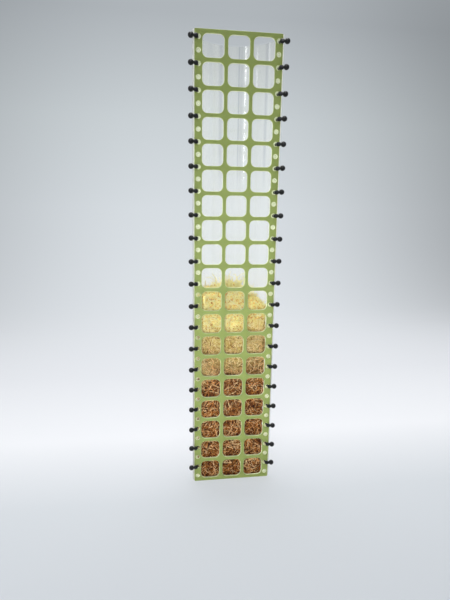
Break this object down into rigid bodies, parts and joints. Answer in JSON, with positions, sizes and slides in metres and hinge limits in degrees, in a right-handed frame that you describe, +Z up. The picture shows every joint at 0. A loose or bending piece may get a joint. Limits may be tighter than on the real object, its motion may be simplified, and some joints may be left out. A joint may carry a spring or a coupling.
{
  "type": "plant support pole",
  "caption": "Half-round plant support pole: moulded grid panel with holed side strips, clear sheet bowed behind it, bead-headed pins along both edges and a moss fill.",
  "frame": {"origin": "on the surface that the pole stands on, under the middle of its bounding box", "axes": "+Z up along the pole, -Y out of the front of the grid panel, +X to the right seen from the front"},
  "size_m": [0.0916, 0.0472, 0.442],
  "materials": {
    "green_plastic": "moss green moulded polypropylene, satin",
    "clear_plastic": "colourless glossy sheet plastic",
    "black_plastic": "black moulded nylon, slightly shiny",
    "moss": "dried sphagnum strands, straw yellow at the top and tan lower down"
  },
  "bodies": {
    "root": {"grid_panel": "green_plastic", "clear_sheet": "clear_plastic", "moss_fill": "moss", "pin_left_01": "black_plastic", "pin_left_02": "black_plastic", "pin_left_03": "black_plastic", "pin_left_04": "black_plastic", "pin_left_05": "black_plastic", "pin_left_06": "black_plastic", "pin_left_07": "black_plastic", "pin_left_08": "black_plastic", "pin_left_09": "black_plastic", "pin_left_10": "black_plastic", "pin_left_11": "black_plastic", "pin_left_12": "black_plastic", "pin_left_13": "black_plastic", "pin_left_14": "black_plastic", "pin_left_15": "black_plastic", "pin_left_16": "black_plastic", "pin_left_17": "black_plastic", "pin_left_18": "black_plastic", "pin_left_19": "black_plastic", "pin_left_20": "black_plastic", "pin_right_01": "black_plastic", "pin_right_02": "black_plastic", "pin_right_03": "black_plastic", "pin_right_04": "black_plastic", "pin_right_05": "black_plastic", "pin_right_06": "black_plastic", "pin_right_07": "black_plastic", "pin_right_08": "black_plastic", "pin_right_09": "black_plastic", "pin_right_10": "black_plastic", "pin_right_11": "black_plastic", "pin_right_12": "black_plastic", "pin_right_13": "black_plastic", "pin_right_14": "black_plastic", "pin_right_15": "black_plastic", "pin_right_16": "black_plastic", "pin_right_17": "black_plastic", "pin_right_18": "black_plastic", "pin_right_19": "black_plastic", "pin_right_20": "black_plastic"}
  },
  "joints": []
}
